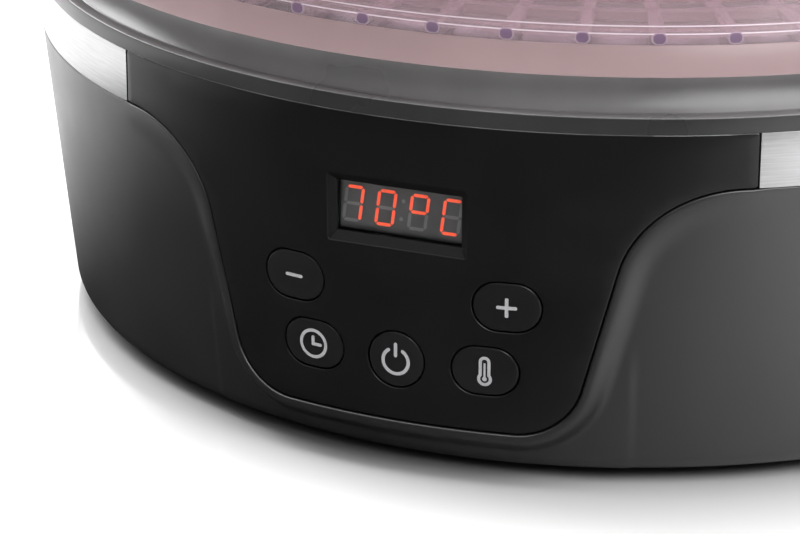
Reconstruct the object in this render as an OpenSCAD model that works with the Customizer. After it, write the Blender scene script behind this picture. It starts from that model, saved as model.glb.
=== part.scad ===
// Round countertop food dehydrator: a powered base, five stacking trays and a lid.
// Millimetres, +Z up. The origin is on the centre line at the floor, and the
// control panel faces -Y. Bearings below are turned from -Y towards +X.

/* [Base] */
// Outer diameter of the base at its metal trim band
base_d = 330; // [328:1:334]
// Height of the feet below the housing
foot_h = 3; // [3:0.5:6]
// Height of the housing, from its lower edge to the top of the trim band
housing_h = 93; // [93:1:98]
// Height of the metal trim band
band_h = 14.3; // [13:0.1:15]
// Inward slope of the housing wall below the band
wall_slope = 0.1; // [0.08:0.01:0.11]
// Wall thickness of the moulded shells
wall = 2.6; // [2.4:0.1:2.8]

/* [Control panel] */
// Bearing at which the panel meets each end of the band, in degrees
panel_end = 31.3; // [30:0.1:33]
// Half width of the panel's tongue at mid height
tongue_x = 52.1; // [50:0.1:54]
// Lean of the tongue's sides, in degrees
tongue_lean = 13.7; // [12:0.1:15]
// Radius of the sweep from the wings into the tongue
sweep_r = 28.5; // [26:0.5:30]
// Radius of the tongue's lower corners
corner_r = 17; // [14:0.5:18]
// Height of the tongue's lower edge above the housing's lower edge
tongue_low = 12; // [11:0.5:14]
// Travel of each push button
button_travel = 0.6; // [0.4:0.1:0.8]

/* [Trays] */
// Height from one tray to the next
tray_pitch = 28; // [27:1:32]
// Thickness of the tray walls
tray_wall = 1.8; // [1.6:0.1:2]
// Number of radial ribs in each tray floor
rib_count = 28; // [24:2:36]
// Number of ring ribs in each tray floor
ring_count = 5; // [4:1:6]

/* [Fan and heater] */
// Outer diameter of the fan
fan_d = 116; // [100:1:118]
// Number of fan blades
blade_count = 5; // [4:1:6]
// Pitch of the fan blades, in degrees
blade_pitch = 28; // [20:1:32]
// Diameter of the motor shaft
shaft_d = 5; // [4:0.5:5]

/* [Hidden] */
$fn = 96;
eps = 0.01;
fit_gap = 0.3;

base_r = base_d / 2;
band_top = foot_h + housing_h;
band_low = band_top - band_h;
band_t = 1;
seat_r = base_r - band_t - 0.1;
panel_t = 2.4;
panel_in = base_r - panel_t;
rim_r = base_r + 0.5;
rim_top = band_top + 4.2;
ledge_in = base_r - 3.5;
cove_r = 14;
cove_h = 9.9;
neck_r = ledge_in + cove_h - cove_r;
tray_z = rim_top + 10.5;
neck_top = tray_z + 6;
deck_z = rim_top + 1.8;
deck_t = 2.4;
hole_r = 60.5;

wing_x = base_r * sin(panel_end);
tongue_z = (band_top + foot_h + tongue_low) / 2 - 8.5;
tongue_foot = foot_h + tongue_low;
side_n = [cos(tongue_lean), -sin(tongue_lean)];
sweep_c = [arc_x(sweep_r, band_low - sweep_r), band_low - sweep_r];
corner_c = [arc_x(-corner_r, tongue_foot + corner_r), tongue_foot + corner_r];

// Push buttons: the height and the sideways place of each centre, and its size.
button_w = 17.2;
button_hh = 12.8;
power_d = 15;
upper_x = 28.9;
upper_z = band_top - 46.7;
lower_x = 23.5;
lower_z = band_top - 64.4;
button_rim = 0.4;
button_t = 4.4;
pin_r = 1.45;

window_z = band_top - 25.9;
window_w = 37.4;
window_h = 17.8;
glass_w = 33.4;
glass_h = 13.3;
lens_y = -base_r + 3.2;
lens_t = 1;
module_d = 10;

board_y = -base_r + 15;
board_t = 1.6;
board_x = 44;
post_x = 40;
post_low = foot_h + 25.5;
post_high = band_top - 16;
switch_h = 3.5;

cover_z = foot_h + 0.3;
cover_t = 3;
cover_top = cover_z + cover_t;
cover_r = base_r - 15.5;
boss_ring = 141;
foot_ring = 140;

duct_in = 62;
duct_t = 2.5;
duct_top = deck_z;
fan_r = fan_d / 2;
fan_z = foot_h + 61;
hub_r = 16;
shaft_r = shaft_d / 2;
motor_r = 24;
motor_z = cover_top + 17;
motor_h = 26;
post_ring = 54;
bracket_t = 2.5;
bracket_z = motor_z - bracket_t;
heater_z = foot_h + 77;
coil_rings = [22, 33, 44];

gland_z = foot_h + 19;
cord_bore_r = 3.5;
board2_y = 104;
board2_z = cover_top + 8;

skirt_out = base_r + 1.3;
skirt_h = 7.3;
wall_out = base_r - 1.5;
wall_top = tray_pitch + 6;
wall_top_out = base_r - 4.1;
seat_in = base_r - 15;
floor_z = 7.6;
rib_h = 2.8;
hub_ring = 22;

lid_t = 1.8;
shoulder = 6;
dome_r = wall_out - 0.6 - shoulder;
dome_edge = 18;
dome_crown = 23;

// ---------- shared geometry ----------

// Points along an arc in the plane, from angle a to angle b.
function arc(c, r, a, b, n = 8) =
    [for (i = [0 : n]) c + r * [cos(a + (b - a) * i / n), sin(a + (b - a) * i / n)]];

// Sideways place of an arc centre at height z, so that radius r meets the tongue's side.
function arc_x(r, z) = tongue_x + (r + side_n[1] * (tongue_z - z)) / side_n[0];

// Outer radius of the tapered housing wall at height z.
function wall_r(z) = base_r - wall_slope * (band_low - z);

// Half of the panel's outline, right of the centre, grown outwards by g.
function half_outline(g) = concat(
    [[wing_x + g, band_top + g], [wing_x + g, band_low - g]],
    arc(sweep_c, sweep_r - g, 90, 180 - tongue_lean),
    arc(corner_c, corner_r + g, -tongue_lean, -90));

// The panel's whole outline, seen from the front.
module outline(g = 0) {
    right = half_outline(g);
    n = len(right) - 1;
    polygon(concat(right, [for (i = [n : -1 : 0]) [-right[i][0], right[i][1]]]));
}

// Extrudes an outline drawn in X and Z along Y, from y0 to y1.
module along_y(y0, y1) {
    translate([0, y1, 0]) rotate([90, 0, 0]) linear_extrude(y1 - y0) children();
}

// An upright tube between two radii.
module tube(r_out, r_in, z0, z1) {
    translate([0, 0, z0]) difference() {
        cylinder(r = r_out, h = z1 - z0);
        translate([0, 0, -1]) cylinder(r = r_in, h = z1 - z0 + 2);
    }
}

// A tube that ends at the given wall and lies wholly in front of the axis.
module front_shell(r_out, r_in) {
    intersection() {
        tube(r_out, r_in, 0, rim_top);
        translate([-base_r, -base_r - 5, 0]) cube([base_d, base_r - 60, rim_top]);
    }
}

// A straight-sided slot shape, w wide and h high, centred on the origin.
module stadium(w, h) {
    square([w - h, h], center = true);
    for (s = [-1, 1]) translate([s * (w - h) / 2, 0]) circle(d = h);
}

// A thin eight-sided wire through the given points. No stretch runs along side.
module wire(points, r, side) {
    last = len(points) - 1;
    rings = [for (i = [0 : last])
        let (d = points[min(i + 1, last)] - points[max(i - 1, 0)],
             u = cross(d, side) / norm(cross(d, side)),
             v = cross(d, u) / norm(d))
        for (k = [0 : 7]) points[i] + r * (u * cos(k * 45) + v * sin(k * 45))];
    sides = [for (i = [0 : last - 1], k = [0 : 7])
        [i * 8 + k, i * 8 + (k + 1) % 8, i * 8 + 8 + (k + 1) % 8, i * 8 + 8 + k]];
    polyhedron(rings, concat(sides,
        [[for (k = [7 : -1 : 0]) k]], [[for (k = [0 : 7]) last * 8 + k]]));
}

// A pan-head screw pointing up, with its head below z = 0.
module screw(shank_r, length, head_r, head_h) {
    cylinder(r = shank_r, h = length);
    translate([0, 0, -head_h]) difference() {
        cylinder(r = head_r, h = head_h);
        for (a = [0, 90]) rotate([0, 0, a]) translate([0, 0, head_h * 0.2])
            cube([head_r * 1.2, 0.6, head_h * 0.6], center = true);
    }
}

// Places children at n equal bearings on a ring.
module ring_of(n, r, start = 0) {
    for (i = [0 : n - 1]) rotate([0, 0, start + i * 360 / n]) translate([r, 0, 0]) children();
}

// ---------- casing ----------

// Outer surface of the housing, as a solid of revolution.
module housing_body() {
    rotate_extrude() polygon(concat(
        [[0, foot_h]],
        arc([wall_r(foot_h + 5) - 5, foot_h + 5], 5, -90, 0),
        [[base_r, band_low], [seat_r, band_low], [seat_r, band_top], [0, band_top]]));
}

// Inner surface of the housing, as a solid of revolution.
module housing_cavity() {
    rotate_extrude() polygon([
        [0, foot_h - 1], [cover_r + 0.4, foot_h - 1], [cover_r + 0.4, foot_h + 1],
        [wall_r(foot_h + 8) - wall, foot_h + 8], [wall_r(band_low) - wall - 1, band_low - 2],
        [seat_r - 3.6, band_low + 2], [seat_r - 3.6, band_top + 1], [0, band_top + 1]]);
}

module base_housing() {
    color([0.06, 0.06, 0.065]) {
        difference() {
            union() {
                housing_body();
                intersection() {
                    tube(base_r - 0.6, base_r - 20, foot_h + 6, band_low);
                    along_y(-base_r - 1, -100) outline(5);
                }
            }
            housing_cavity();
            intersection() {
                translate([0, 0, foot_h + 9]) cylinder(r = base_r - 5, h = band_low - foot_h - 9);
                along_y(-base_r, -100) outline(2.4);
            }
            intersection() {
                tube(base_r + 5, panel_in - 0.1, foot_h, band_top + 1);
                along_y(-base_r - 6, -90) outline(fit_gap);
            }
            along_y(-base_r, -100) intersection() {
                outline(-3);
                translate([-wing_x, 0]) square([2 * wing_x, band_top - 3]);
            }
            translate([0, wall_r(gland_z) + 4.2, gland_z]) rotate([90, 0, 0])
                cylinder(r = 8.3, h = 5);
            translate([0, base_r, gland_z]) rotate([90, 0, 0]) cylinder(r = 5.6, h = 20);
        }
        ring_of(6, boss_ring, 0) difference() {
            union() {
                translate([0, 0, cover_top]) cylinder(r = 4.5, h = 22);
                translate([3, -1.5, cover_top]) cube([12.3, 3, 22]);
            }
            translate([0, 0, cover_top - 1]) cylinder(r = 1.3, h = 14);
        }
    }
}

module trim_band() {
    color([0.75, 0.75, 0.76]) translate([0, 0, band_low])
        rotate([0, 0, panel_end + 0.15 - 90]) rotate_extrude(angle = 360 - 2 * panel_end - 0.3)
            translate([base_r - band_t, 0]) square([band_t, band_h]);
}

module top_casing() {
    cove = arc([neck_r + cove_r, rim_top + cove_h], cove_r, 225, 180);
    color([0.12, 0.12, 0.125]) rotate_extrude() polygon(concat(
        [[hole_r, deck_z + deck_t], [hole_r, deck_z], [neck_r - 5, deck_z],
         [seat_r - 6.5, band_top], [seat_r - 6.5, band_top - 4], [seat_r - 3.9, band_top - 4],
         [seat_r - 3.9, band_top], [rim_r, band_top], [rim_r, rim_top - 0.4],
         [rim_r - 0.4, rim_top], [ledge_in, rim_top]],
        cove,
        [[neck_r, neck_top], [neck_r - wall, neck_top], [neck_r - wall, deck_z + deck_t]]));
}

module outlet_grille() {
    color([0.1, 0.1, 0.105]) difference() {
        union() {
            translate([0, 0, deck_z + deck_t]) cylinder(r = hole_r + 5, h = 2);
            translate([0, 0, deck_z + 0.4]) cylinder(r = hole_r - fit_gap, h = deck_t);
        }
        ring_of(24, 28) translate([0, -1.8, deck_z - 1]) cube([27, 3.6, 8]);
        ring_of(12, 12) translate([0, -1.8, deck_z - 1]) cube([12, 3.6, 8]);
    }
}

// ---------- control panel ----------

// Places a child outline at each button, for holes through the panel.
module button_outlines(grow) {
    for (s = [-1, 1]) {
        translate([s * upper_x, upper_z]) stadium(button_w + grow, button_hh + grow);
        translate([s * lower_x, lower_z]) stadium(button_w + grow, button_hh + grow);
    }
    translate([0, lower_z]) circle(d = power_d + grow);
}

module control_panel() {
    color([0.05, 0.05, 0.055]) {
        difference() {
            union() {
                intersection() {
                    front_shell(base_r, panel_in);
                    along_y(-base_r - 1, -90) outline();
                }
                intersection() {
                    front_shell(base_r - 1, base_r - 30);
                    along_y(-base_r, -base_r + 5.4) translate([0, window_z])
                        square([window_w + 5, window_h + 5], center = true);
                }
            }
            along_y(-base_r - 1, -100) button_outlines(2 * button_rim);
            along_y(-base_r - 1, lens_y) translate([0, window_z])
                square([window_w - 2, window_h - 2], center = true);
            along_y(lens_y - eps, -100) translate([0, window_z])
                square([glass_w + 2.2, glass_h + 2.2], center = true);
        }
        for (x = [-post_x, post_x], z = [post_low, post_high]) difference() {
            intersection() {
                cylinder(r = base_r - 1, h = band_top);
                along_y(-base_r, board_y) translate([x, z]) circle(r = 3);
            }
            along_y(board_y - 7, board_y + 1) translate([x, z]) circle(r = 1.2);
        }
    }
}

module display_lens() {
    color([0.2, 0.2, 0.21, 0.6]) along_y(lens_y, lens_y + lens_t) translate([0, window_z])
        square([glass_w + 1.8, glass_h + 1.8], center = true);
}

module display_module() {
    back = lens_y + lens_t + 0.4;
    color([0.35, 0.35, 0.36]) {
        along_y(back, back + module_d - 2.4) translate([0, window_z])
            square([glass_w, glass_h], center = true);
        for (x = [-13 : 5.2 : 13], s = [-1, 1])
            along_y(back + module_d - 2.5, board_y) translate([x, window_z + s * 5]) circle(r = 0.3);
    }
}

// One bar of a seven-segment digit.
module bar(x, z, w, h) {
    translate([x, z]) square([w, h], center = true);
}

// The bars that are lit: 7, 0, a degree ring and C.
module lit_bars() {
    digit_h = 10;
    w = 4.6;
    t = 1.1;
    q = digit_h / 4;
    cells = [[0, 1, 2], [0, 1, 2, 3, 4, 5], [0, 1, 5, 6], [0, 3, 4, 5]];
    places = [-13.2, -4.4, 4.4, 13.2];
    for (i = [0 : 3]) translate([places[i], 0]) for (s = cells[i]) {
        if (s == 0) bar(0, 2 * q - t / 2, w - t, t);
        if (s == 1) bar(w / 2, q, t, 2 * q - t);
        if (s == 2) bar(w / 2, -q, t, 2 * q - t);
        if (s == 3) bar(0, -2 * q + t / 2, w - t, t);
        if (s == 4) bar(-w / 2, -q, t, 2 * q - t);
        if (s == 5) bar(-w / 2, q, t, 2 * q - t);
        if (s == 6) bar(0, 0, w - t - 0.4, t);
    }
}

module lit_digits() {
    face = lens_y + lens_t + 0.4;
    color([1, 0.35, 0.2]) along_y(face - 0.2, face) translate([0, window_z]) lit_bars();
}

// A push button: a curved cap, a keeper flange behind the panel and a pin for its switch.
module button(x, z) {
    tip = board_y - switch_h + 0.9;
    color([0.07, 0.07, 0.075]) {
        intersection() {
            front_shell(base_r, base_r - button_t);
            along_y(-base_r - 1, -100) translate([x, z]) children();
        }
        intersection() {
            front_shell(panel_in - 0.8, base_r - button_t);
            along_y(-base_r, -100) translate([x, z]) scale(1.15) children();
        }
        difference() {
            along_y(-base_r, tip) translate([x, z]) circle(r = pin_r);
            tube(2 * base_r, base_r - button_t, 0, band_top);
        }
    }
}

module button_minus() button(-upper_x, upper_z) stadium(button_w, button_hh);
module button_plus() button(upper_x, upper_z) stadium(button_w, button_hh);
module button_timer() button(-lower_x, lower_z) stadium(button_w, button_hh);
module button_temperature() button(lower_x, lower_z) stadium(button_w, button_hh);
module button_power() button(0, lower_z) circle(d = power_d);

// Front-view places of the five switches behind the buttons.
SWITCHES = [[-upper_x, upper_z], [upper_x, upper_z], [-lower_x, lower_z],
            [lower_x, lower_z], [0, lower_z]];

module control_board() {
    color([0.1, 0.35, 0.18]) difference() {
        along_y(board_y, board_y + board_t)
            translate([-board_x, post_low - 4]) square([2 * board_x, post_high - post_low + 8]);
        for (x = [-post_x, post_x], z = [post_low, post_high])
            along_y(board_y - 1, board_y + 3) translate([x, z]) circle(r = 1.5);
    }
}

module tact_switches() {
    color([0.15, 0.15, 0.16]) for (p = SWITCHES) difference() {
        along_y(board_y - switch_h, board_y) translate(p) square(6, center = true);
        along_y(board_y - switch_h - 1, board_y - 1) translate(p) circle(r = 1.75);
    }
}

module board_screws() {
    color([0.7, 0.7, 0.72]) for (x = [-post_x, post_x], z = [post_low, post_high])
        translate([x, board_y + board_t, z]) rotate([90, 0, 0]) screw(1.1, 7, 2.6, 1.6);
}

// ---------- underside ----------

module bottom_cover() {
    color([0.08, 0.08, 0.085]) difference() {
        union() {
            translate([0, 0, cover_z]) cylinder(r = cover_r, h = cover_t);
            ring_of(3, post_ring, 30) translate([0, 0, cover_top - 1])
                cylinder(r = 4, h = bracket_z - cover_top + 1);
            for (x = [-34, 34], y = [-20, 20]) translate([x, board2_y + y, cover_top - 1])
                cylinder(r = 3.5, h = board2_z - cover_top + 1);
        }
        ring_of(24, 24) translate([0, -1.8, cover_z - 1]) cube([22, 3.6, 6]);
        ring_of(3, post_ring, 30) translate([0, 0, cover_top]) cylinder(r = 1.3, h = 30);
        ring_of(6, boss_ring) translate([0, 0, cover_z - 1]) cylinder(r = 1.7, h = 9);
        ring_of(6, boss_ring) translate([0, 0, cover_z - 1]) cylinder(r = 3.3, h = 2.7);
        ring_of(4, 68.5, 45) translate([0, 0, cover_z - 1]) cylinder(r = 1.7, h = 9);
        ring_of(4, 68.5, 45) translate([0, 0, cover_z - 1]) cylinder(r = 3.3, h = 2.7);
        ring_of(4, foot_ring, 45) translate([0, 0, cover_z - 1]) cylinder(r = 3, h = 9);
        for (x = [-34, 34], y = [-20, 20]) translate([x, board2_y + y, cover_top])
            cylinder(r = 1.3, h = 20);
    }
}

module cover_screws() {
    color([0.6, 0.6, 0.62]) ring_of(6, boss_ring) translate([0, 0, cover_z + 1.7])
        screw(1.2, 11, 3, 1.4);
}

module feet() {
    color([0.12, 0.12, 0.12]) ring_of(4, foot_ring, 45) {
        cylinder(r1 = 7.4, r2 = 8, h = 1);
        translate([0, 0, 1]) cylinder(r = 8, h = cover_z - 1);
        translate([0, 0, cover_z - eps]) cylinder(r = 2.9, h = cover_t + 0.1);
        translate([0, 0, cover_top + 0.05]) cylinder(r1 = 3.8, r2 = 2.4, h = 2);
    }
}

// ---------- air drive ----------

module air_duct() {
    color([0.55, 0.56, 0.58]) difference() {
        union() {
            tube(duct_in + duct_t, duct_in, cover_top, duct_top);
            tube(duct_in + 11, duct_in, cover_top, cover_top + 2.5);
            ring_of(4, duct_in - 4) translate([0, -4, heater_z - 4]) cube([5, 8, 10]);
        }
        ring_of(4, duct_in - 5) translate([0, -0.6, heater_z]) cube([6, 1.2, 10]);
        ring_of(4, 68.5, 45) translate([0, 0, cover_top - 1]) cylinder(r = 1.3, h = 9);
        translate([6, 50, motor_z + 8]) rotate([-90, 0, 0]) cylinder(r = 2.4, h = 20);
        translate([-10, 50, heater_z + 4]) rotate([-90, 0, 0]) cylinder(r = 2.4, h = 20);
        translate([10, 50, heater_z + 4]) rotate([-90, 0, 0]) cylinder(r = 2.4, h = 20);
        translate([-50, 0, heater_z + 18]) rotate([0, -90, 0]) cylinder(r = 2.1, h = 20);
    }
}

module duct_screws() {
    color([0.6, 0.6, 0.62]) ring_of(4, 68.5, 45) translate([0, 0, cover_z + 1.7])
        screw(1.2, 3.7, 3, 1.4);
}

module motor_bracket() {
    color([0.62, 0.62, 0.64]) difference() {
        union() {
            translate([0, 0, bracket_z]) cylinder(r = motor_r + 2, h = bracket_t);
            ring_of(3, 0, 30) translate([0, -5, bracket_z]) cube([post_ring + 5, 10, bracket_t]);
        }
        translate([0, 0, bracket_z - 1]) cylinder(r = 7, h = bracket_t + 2);
        ring_of(3, post_ring, 30) translate([0, 0, bracket_z - 1]) cylinder(r = 1.7, h = 9);
        ring_of(2, 17, 90) translate([0, 0, bracket_z - 1]) cylinder(r = 1.7, h = 9);
    }
}

module bracket_screws() {
    top = bracket_z + bracket_t;
    color([0.7, 0.7, 0.72]) {
        ring_of(3, post_ring, 30) translate([0, 0, top]) mirror([0, 0, 1])
            screw(1.2, 11, 3, 1.6);
        ring_of(2, 17, 90) translate([0, 0, bracket_z]) screw(1.5, bracket_t + 1.8, 3, 1.6);
    }
}

module motor_can() {
    color([0.7, 0.7, 0.71]) difference() {
        translate([0, 0, motor_z]) cylinder(r = motor_r, h = motor_h);
        translate([0, 0, motor_z + 2]) cylinder(r = motor_r - 2, h = motor_h);
        translate([0, 0, motor_z - 1]) cylinder(r = 5, h = 5);
        ring_of(2, 17, 90) translate([0, 0, motor_z - 1]) cylinder(r = 1.6, h = 9);
    }
}

module motor_end_cap() {
    color([0.62, 0.62, 0.64]) difference() {
        union() {
            translate([0, 0, motor_z + motor_h]) cylinder(r = motor_r, h = 2);
            translate([0, 0, motor_z + motor_h]) cylinder(r = 8, h = 4);
            tube(motor_r - 2.2, motor_r - 4, motor_z + motor_h - 3, motor_z + motor_h + eps);
        }
        translate([0, 0, motor_z + motor_h - 1]) cylinder(r = 5, h = 9);
    }
}

module motor_bearings() {
    color([0.72, 0.55, 0.3]) {
        tube(4.95, shaft_r + 0.05, motor_z + motor_h - 1, motor_z + motor_h + 4);
        tube(4.95, shaft_r + 0.05, motor_z - 1, motor_z + 4);
    }
}

module motor_rotor() {
    color([0.45, 0.45, 0.47]) tube(15, shaft_r, motor_z + 6, motor_z + motor_h - 4);
}

module motor_shaft() {
    color([0.8, 0.8, 0.82]) translate([0, 0, motor_z - 3])
        cylinder(r = shaft_r, h = fan_z + 12 - motor_z + 3);
}

module fan_impeller() {
    color([0.16, 0.16, 0.17]) {
        tube(hub_r, shaft_r, fan_z - 8, fan_z + 8);
        for (i = [0 : blade_count - 1]) rotate([0, 0, i * 360 / blade_count]) intersection() {
            translate([0, 0, fan_z]) rotate([blade_pitch, 0, 0])
                translate([hub_r - 2, -16, -1]) cube([fan_r, 32, 2]);
            tube(fan_r, hub_r - 1, fan_z - 9, fan_z + 9);
        }
    }
}

module fan_nut() {
    color([0.75, 0.75, 0.77]) difference() {
        translate([0, 0, fan_z + 8]) cylinder(r = 5.2, h = 3.2, $fn = 6);
        translate([0, 0, fan_z + 7]) cylinder(r = shaft_r, h = 6);
    }
}

// ---------- heater ----------

module heater_frame() {
    half = duct_in - 0.4;
    color([0.82, 0.78, 0.66]) difference() {
        union() {
            translate([-half, -0.5, heater_z]) cube([2 * half, 1, 13]);
            translate([-0.5, -half, heater_z]) cube([1, 2 * half, 13]);
        }
        for (r = coil_rings) translate([0, 0, heater_z + 4]) rotate_extrude()
            translate([r, 0]) circle(r = 1.75, $fn = 24);
    }
}

module heater_coil() {
    color([0.5, 0.46, 0.42]) {
        for (r = coil_rings) translate([0, 0, heater_z + 4]) rotate_extrude()
            translate([r, 0]) circle(r = 1.6, $fn = 24);
        for (x = [-10, 10]) translate([x, coil_rings[2] - 1, heater_z + 4])
            rotate([-90, 0, 0]) cylinder(r = 0.9, h = duct_in - 7.5 - coil_rings[2], $fn = 24);
    }
}

module heater_terminals() {
    color([0.78, 0.74, 0.62]) for (x = [-10, 10])
        translate([x, duct_in - 8.5, heater_z + 4]) rotate([-90, 0, 0]) cylinder(r = 2, h = 4);
}

module thermal_cutoff() {
    color([0.75, 0.68, 0.45]) {
        translate([26, 3, heater_z + 10]) rotate([0, 90, 0]) cylinder(r = 2.2, h = 13);
        translate([20, 3, heater_z + 10]) rotate([0, 90, 0]) cylinder(r = 0.5, h = 25);
    }
}

module temperature_sensor() {
    color([0.9, 0.9, 0.86]) {
        translate([-duct_in + 6, 0, heater_z + 18]) sphere(r = 2);
        translate([-duct_in + 6, 0, heater_z + 18]) rotate([0, -90, 0])
            cylinder(r = 2, h = 14);
    }
}

// ---------- electronics ----------

module power_board() {
    color([0.1, 0.35, 0.18]) difference() {
        translate([-40, board2_y - 25, board2_z]) cube([80, 50, board_t]);
        for (x = [-34, 34], y = [-20, 20]) translate([x, board2_y + y, board2_z - 1])
            cylinder(r = 1.6, h = 4);
    }
}

module transformer() {
    color([0.75, 0.62, 0.2]) translate([-26, board2_y - 9, board2_z + board_t])
        cube([24, 20, 18]);
}

module relay() {
    color([0.12, 0.2, 0.45]) translate([4, board2_y - 14, board2_z + board_t])
        cube([19, 15.5, 15.5]);
}

module terminal_block() {
    color([0.2, 0.5, 0.25]) translate([3, board2_y + 8, board2_z + board_t]) difference() {
        cube([21, 10, 11]);
        for (i = [0 : 2]) translate([3.5 + i * 7, 7, 5]) rotate([-90, 0, 0])
            cylinder(r = 2, h = 6);
    }
}

module power_board_screws() {
    color([0.7, 0.7, 0.72]) for (x = [-34, 34], y = [-20, 20])
        translate([x, board2_y + y, board2_z + board_t]) mirror([0, 0, 1])
            screw(1.2, 8, 2.8, 1.6);
}

module cord_gland() {
    face = wall_r(gland_z) - 0.8;
    color([0.1, 0.1, 0.1]) translate([0, face, gland_z]) rotate([-90, 0, 0]) difference() {
        union() {
            cylinder(r = 8, h = 2);
            translate([0, 0, -9]) cylinder(r = 5.4, h = 9 + eps);
            translate([0, 0, -7]) cylinder(r = 7, h = 2);
        }
        translate([0, 0, -10]) cylinder(r = cord_bore_r, h = 20);
    }
}

module motor_leads() {
    color([0.7, 0.1, 0.1]) wire([[6, 23.3, motor_z + 8], [6, 74, motor_z + 8],
        [6, 84, board2_z + board_t + 0.4]], 1.2, [1, 0, 0]);
}

module heater_leads() {
    color([0.85, 0.85, 0.8]) for (x = [-10, 10]) wire([
        [x, duct_in - 4.5, heater_z + 4], [x, 70, heater_z + 4],
        [x * 2.8, 84, heater_z - 20], [x * 2.8, 84, board2_z + board_t + 0.4]], 1.3, [1, 0, 0]);
}

module display_cable() {
    color([0.3, 0.3, 0.32]) wire([[30, board_y + board_t + 1, 40], [60, -120, 30],
        [98, -60, 20], [98, 40, 20], [60, 88, 20], [36, 92, board2_z + board_t + 2]], 1.5,
        [0, 0, 1]);
}

// ---------- trays and lid ----------

// Side wall of a tray or lid: a flared skirt, a drafted wall and the seat ring.
module stack_wall(top, top_out) {
    rotate_extrude() polygon([
        [skirt_out, 0], [wall_out, skirt_h], [top_out, top], [top_out - tray_wall, top],
        [wall_out - tray_wall, floor_z + 1], [seat_in, floor_z + 1], [seat_in, 6],
        [wall_out - tray_wall, 6], [skirt_out - tray_wall, 0]]);
}

// One stacking tray, with a floor of radial and ring ribs.
module tray(level) {
    ring_step = (seat_in - hub_ring) / (ring_count + 1);
    color([0.8, 0.72, 0.82, 0.6]) translate([0, 0, tray_z + level * tray_pitch]) {
        stack_wall(wall_top, wall_top_out);
        translate([0, 0, floor_z]) linear_extrude(rib_h) {
            for (i = [0 : rib_count / 2 - 1]) rotate((i + 0.25) * 360 / rib_count) difference() {
                square([2 * seat_in + 14, 3.6], center = true);
                circle(r = hub_ring + 1.2);
            }
            for (k = [0 : ring_count]) difference() {
                circle(r = hub_ring + 2.4 + k * ring_step);
                circle(r = hub_ring + k * ring_step);
            }
        }
    }
}

module tray_1() tray(0);
module tray_2() tray(1);
module tray_3() tray(2);
module tray_4() tray(3);
module tray_5() tray(4);

// Height of the lid's domed top at radius r, above the lid's own lower edge.
function dome(r) = dome_edge + (dome_crown - dome_edge) * (1 - pow(r / dome_r, 2));

module lid() {
    steps = [for (i = [0 : 5]) dome_r * i / 5];
    under = concat([for (r = steps) [r, dome(r) - lid_t]],
        arc([dome_r, dome_edge - shoulder], shoulder - lid_t, 75, 0, 4));
    over = concat(arc([dome_r, dome_edge - shoulder], shoulder, 0, 75, 5),
        [for (i = [5 : -1 : 0]) [steps[i], dome(steps[i])]]);
    color([0.82, 0.76, 0.84, 0.6]) translate([0, 0, tray_z + 5 * tray_pitch]) {
        stack_wall(dome_edge - shoulder, wall_out - 0.6);
        difference() {
            rotate_extrude() polygon(concat(under, over));
            ring_of(16, 20) translate([0, -1.7, dome_edge - 5]) cube([26, 3.4, 20]);
        }
    }
}

base_housing();
top_casing();
outlet_grille();
trim_band();
control_panel();
display_lens();
display_module();
lit_digits();
button_minus();
button_plus();
button_timer();
button_power();
button_temperature();
control_board();
tact_switches();
board_screws();
bottom_cover();
cover_screws();
feet();
air_duct();
duct_screws();
motor_bracket();
bracket_screws();
motor_can();
motor_end_cap();
motor_bearings();
motor_rotor();
motor_shaft();
fan_impeller();
fan_nut();
heater_frame();
heater_coil();
heater_terminals();
thermal_cutoff();
temperature_sensor();
power_board();
transformer();
relay();
terminal_block();
power_board_screws();
cord_gland();
motor_leads();
heater_leads();
display_cable();
tray_1();
tray_2();
tray_3();
tray_4();
tray_5();
lid();
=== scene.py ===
"""Looks of the food dehydrator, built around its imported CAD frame.

Metres, +Z up. The origin is on the centre line at the floor, the control panel faces -Y,
and bearings are turned from -Y towards +X.
"""
import math

import bmesh
import bpy
import numpy as np
from mathutils import Matrix, Vector
from mathutils.geometry import delaunay_2d_cdt


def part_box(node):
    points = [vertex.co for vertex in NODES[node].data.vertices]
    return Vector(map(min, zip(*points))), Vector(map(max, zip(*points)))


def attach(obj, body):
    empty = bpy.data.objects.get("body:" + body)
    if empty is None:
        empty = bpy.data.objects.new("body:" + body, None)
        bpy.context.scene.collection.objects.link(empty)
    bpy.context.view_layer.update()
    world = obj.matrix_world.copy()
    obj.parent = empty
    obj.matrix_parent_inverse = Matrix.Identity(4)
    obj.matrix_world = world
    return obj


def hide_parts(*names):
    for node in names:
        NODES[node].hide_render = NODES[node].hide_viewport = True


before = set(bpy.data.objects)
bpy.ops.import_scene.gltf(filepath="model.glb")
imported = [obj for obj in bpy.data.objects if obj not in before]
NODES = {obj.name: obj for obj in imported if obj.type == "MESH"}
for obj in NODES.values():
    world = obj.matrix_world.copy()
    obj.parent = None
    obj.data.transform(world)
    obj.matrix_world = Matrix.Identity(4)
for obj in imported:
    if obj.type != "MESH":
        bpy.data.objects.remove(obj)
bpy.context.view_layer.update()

MM = 0.001


# ---------- sizes, from the frame ----------

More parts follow.
